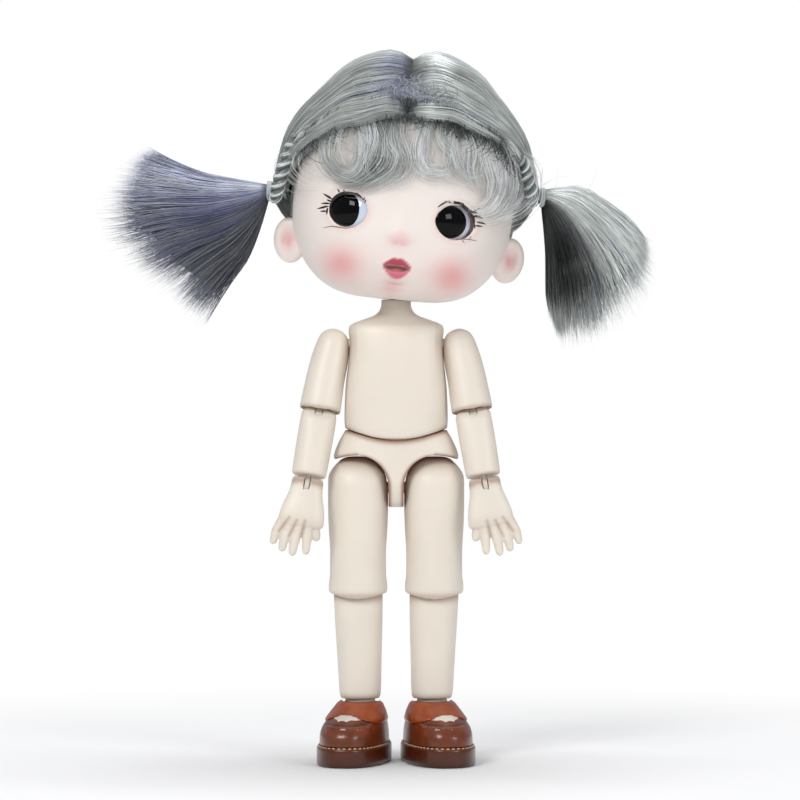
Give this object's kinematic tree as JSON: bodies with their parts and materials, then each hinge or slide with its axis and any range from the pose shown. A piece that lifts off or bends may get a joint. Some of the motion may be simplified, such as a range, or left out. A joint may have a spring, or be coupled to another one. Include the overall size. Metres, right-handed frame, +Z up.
{
  "type": "ball jointed doll",
  "caption": "Small standing fashion doll with a jointed plastic body, a large tilted head with inset dark eyes, silver side tails and strapped loafers.",
  "frame": {"origin": "on the floor under the middle of the doll's overall box", "axes": "+Z up, -Y the way the doll faces, +X the doll's left side"},
  "size_m": [0.1232, 0.0536, 0.1648],
  "materials": {
    "body_plastic": "matt cream",
    "face_plastic": "matt cream with a painted blush",
    "connector_plastic": "bare moulding",
    "eye_white": "polished",
    "eye_black": "polished",
    "hair_fibre": "silver grey-green fibre with a silky sheen",
    "cap_cloth": "woven net",
    "tie_rubber": "matt",
    "shoe_leather": "glossy cognac",
    "shoe_sole": "satin",
    "shoe_strap": "glossy cognac"
  },
  "bodies": {
    "pelvis": {"pelvis_front": "body_plastic", "pelvis_back": "body_plastic"},
    "waist_link": {"waist_connector": "connector_plastic"},
    "torso": {"torso_front": "body_plastic", "torso_back": "body_plastic"},
    "neck_link": {"neck_post": "connector_plastic"},
    "neck_ball": {"neck_ball": "connector_plastic"},
    "head": {"face_shell": "face_plastic", "head_back": "face_plastic", "left_eye_white": "eye_white", "right_eye_white": "eye_white", "left_iris": "eye_black", "right_iris": "eye_black", "wig_cap": "cap_cloth", "left_hair_crown": "hair_fibre", "right_hair_crown": "hair_fibre", "hair_fringe": "hair_fibre", "left_braid": "hair_fibre", "right_braid": "hair_fibre", "left_hair_tie": "tie_rubber", "right_hair_tie": "tie_rubber", "left_ponytail": "hair_fibre", "right_ponytail": "hair_fibre"},
    "left_shoulder_link": {"left_shoulder_connector": "connector_plastic"},
    "left_upper_arm": {"left_upper_arm": "body_plastic"},
    "left_elbow_link": {"left_elbow_connector": "connector_plastic"},
    "left_forearm": {"left_forearm": "body_plastic"},
    "left_wrist_link": {"left_wrist_connector": "connector_plastic"},
    "left_hand": {"left_hand": "body_plastic"},
    "left_hip_link": {"left_hip_connector": "connector_plastic"},
    "left_thigh": {"left_thigh": "body_plastic", "left_knee_pin": "connector_plastic"},
    "left_shin": {"left_shin": "body_plastic"},
    "left_ankle_link": {"left_ankle_connector": "connector_plastic"},
    "left_foot": {"left_foot": "body_plastic", "left_shoe_upper": "shoe_leather", "left_shoe_strap": "shoe_strap", "left_shoe_sole": "shoe_sole"},
    "right_shoulder_link": {"right_shoulder_connector": "connector_plastic"},
    "right_upper_arm": {"right_upper_arm": "body_plastic"},
    "right_elbow_link": {"right_elbow_connector": "connector_plastic"},
    "right_forearm": {"right_forearm": "body_plastic"},
    "right_wrist_link": {"right_wrist_connector": "connector_plastic"},
    "right_hand": {"right_hand": "body_plastic"},
    "right_hip_link": {"right_hip_connector": "connector_plastic"},
    "right_thigh": {"right_thigh": "body_plastic", "right_knee_pin": "connector_plastic"},
    "right_shin": {"right_shin": "body_plastic"},
    "right_ankle_link": {"right_ankle_connector": "connector_plastic"},
    "right_foot": {"right_foot": "body_plastic", "right_shoe_upper": "shoe_leather", "right_shoe_strap": "shoe_strap", "right_shoe_sole": "shoe_sole"}
  },
  "joints": [
    {"name": "waist_turn", "type": "hinge", "parent": "pelvis", "child": "waist_link", "pos_m": [0.0036, 0, 0.073], "axis": [0, 0, 1], "range_deg": [-30, 30]},
    {"name": "waist_lean", "type": "hinge", "parent": "waist_link", "child": "torso", "pos_m": [0.0036, 0, 0.0936], "axis": [1, 0, 0], "range_deg": [-6, 6]},
    {"name": "neck_turn", "type": "hinge", "parent": "torso", "child": "neck_link", "pos_m": [0.0036, 0, 0.107], "axis": [0, 0, 1], "range_deg": [-60, 60]},
    {"name": "neck_nod", "type": "hinge", "parent": "neck_link", "child": "neck_ball", "pos_m": [0.0036, 0, 0.1118], "axis": [1, 0, 0], "range_deg": [-10, 10]},
    {"name": "head_tilt", "type": "hinge", "parent": "neck_ball", "child": "head", "pos_m": [0.0036, 0, 0.1118], "axis": [0, 1, 0], "range_deg": [-14, 7]},
    {"name": "left_shoulder_swing", "type": "hinge", "parent": "torso", "child": "left_shoulder_link", "pos_m": [0.0186, 0, 0.0965], "axis": [1, 0, 0], "range_deg": [-83, 57]},
    {"name": "left_arm_raise", "type": "hinge", "parent": "left_shoulder_link", "child": "left_upper_arm", "pos_m": [0.0186, 0, 0.0965], "axis": [0, -0.9781, 0.2079], "range_deg": [0, 70]},
    {"name": "left_elbow_turn", "type": "hinge", "parent": "left_upper_arm", "child": "left_elbow_link", "pos_m": [0.02162, -0.00384, 0.07845], "axis": [-0.1616, 0.2052, 0.9653], "range_deg": [-80, 80]},
    {"name": "left_elbow_bend", "type": "hinge", "parent": "left_elbow_link", "child": "left_forearm", "pos_m": [0.02162, -0.00384, 0.07845], "axis": [-0.9869, -0.0336, -0.1581], "range_deg": [0, 65]},
    {"name": "left_wrist_turn", "type": "hinge", "parent": "left_forearm", "child": "left_wrist_link", "pos_m": [0.02408, -0.00696, 0.06378], "axis": [-0.1616, 0.2052, 0.9653], "range_deg": [-90, 90]},
    {"name": "left_wrist_bend", "type": "hinge", "parent": "left_wrist_link", "child": "left_hand", "pos_m": [0.02408, -0.00696, 0.06378], "axis": [-0.9869, -0.0336, -0.1581], "range_deg": [-30, 60]},
    {"name": "left_hip_swing", "type": "hinge", "parent": "pelvis", "child": "left_hip_link", "pos_m": [0.0124, 0, 0.0634], "axis": [1, 0, 0], "range_deg": [-90, 30]},
    {"name": "left_hip_spread", "type": "hinge", "parent": "left_hip_link", "child": "left_thigh", "pos_m": [0.0124, 0, 0.0634], "axis": [0, -1, 0], "range_deg": [0, 22]},
    {"name": "left_knee_bend", "type": "hinge", "parent": "left_thigh", "child": "left_shin", "pos_m": [0.0124, 0, 0.0404], "axis": [1, 0, 0], "range_deg": [0, 95]},
    {"name": "left_ankle_turn", "type": "hinge", "parent": "left_shin", "child": "left_ankle_link", "pos_m": [0.0119, 0, 0.0121], "axis": [0, 0, 1], "range_deg": [-4, 20]},
    {"name": "left_ankle_bend", "type": "hinge", "parent": "left_ankle_link", "child": "left_foot", "pos_m": [0.0119, 0, 0.0121], "axis": [1, 0, 0], "range_deg": [-5, 20]},
    {"name": "right_shoulder_swing", "type": "hinge", "parent": "torso", "child": "right_shoulder_link", "pos_m": [-0.0114, 0, 0.0965], "axis": [1, 0, 0], "range_deg": [-83, 57]},
    {"name": "right_arm_raise", "type": "hinge", "parent": "right_shoulder_link", "child": "right_upper_arm", "pos_m": [-0.0114, 0, 0.0965], "axis": [0, 0.9781, -0.2079], "range_deg": [0, 70]},
    {"name": "right_elbow_turn", "type": "hinge", "parent": "right_upper_arm", "child": "right_elbow_link", "pos_m": [-0.01442, -0.00384, 0.07845], "axis": [-0.1616, -0.2052, -0.9653], "range_deg": [-80, 80]},
    {"name": "right_elbow_bend", "type": "hinge", "parent": "right_elbow_link", "child": "right_forearm", "pos_m": [-0.01442, -0.00384, 0.07845], "axis": [-0.9869, 0.0336, 0.1581], "range_deg": [0, 65]},
    {"name": "right_wrist_turn", "type": "hinge", "parent": "right_forearm", "child": "right_wrist_link", "pos_m": [-0.01688, -0.00696, 0.06378], "axis": [-0.1616, -0.2052, -0.9653], "range_deg": [-90, 90]},
    {"name": "right_wrist_bend", "type": "hinge", "parent": "right_wrist_link", "child": "right_hand", "pos_m": [-0.01688, -0.00696, 0.06378], "axis": [-0.9869, 0.0336, 0.1581], "range_deg": [-30, 60]},
    {"name": "right_hip_swing", "type": "hinge", "parent": "pelvis", "child": "right_hip_link", "pos_m": [-0.0052, 0, 0.0634], "axis": [1, 0, 0], "range_deg": [-90, 30]},
    {"name": "right_hip_spread", "type": "hinge", "parent": "right_hip_link", "child": "right_thigh", "pos_m": [-0.0052, 0, 0.0634], "axis": [0, 1, 0], "range_deg": [0, 22]},
    {"name": "right_knee_bend", "type": "hinge", "parent": "right_thigh", "child": "right_shin", "pos_m": [-0.0052, 0, 0.0404], "axis": [1, 0, 0], "range_deg": [0, 95]},
    {"name": "right_ankle_turn", "type": "hinge", "parent": "right_shin", "child": "right_ankle_link", "pos_m": [-0.0047, 0, 0.0121], "axis": [0, 0, -1], "range_deg": [-4, 20]},
    {"name": "right_ankle_bend", "type": "hinge", "parent": "right_ankle_link", "child": "right_foot", "pos_m": [-0.0047, 0, 0.0121], "axis": [1, 0, 0], "range_deg": [-5, 20]}
  ]
}
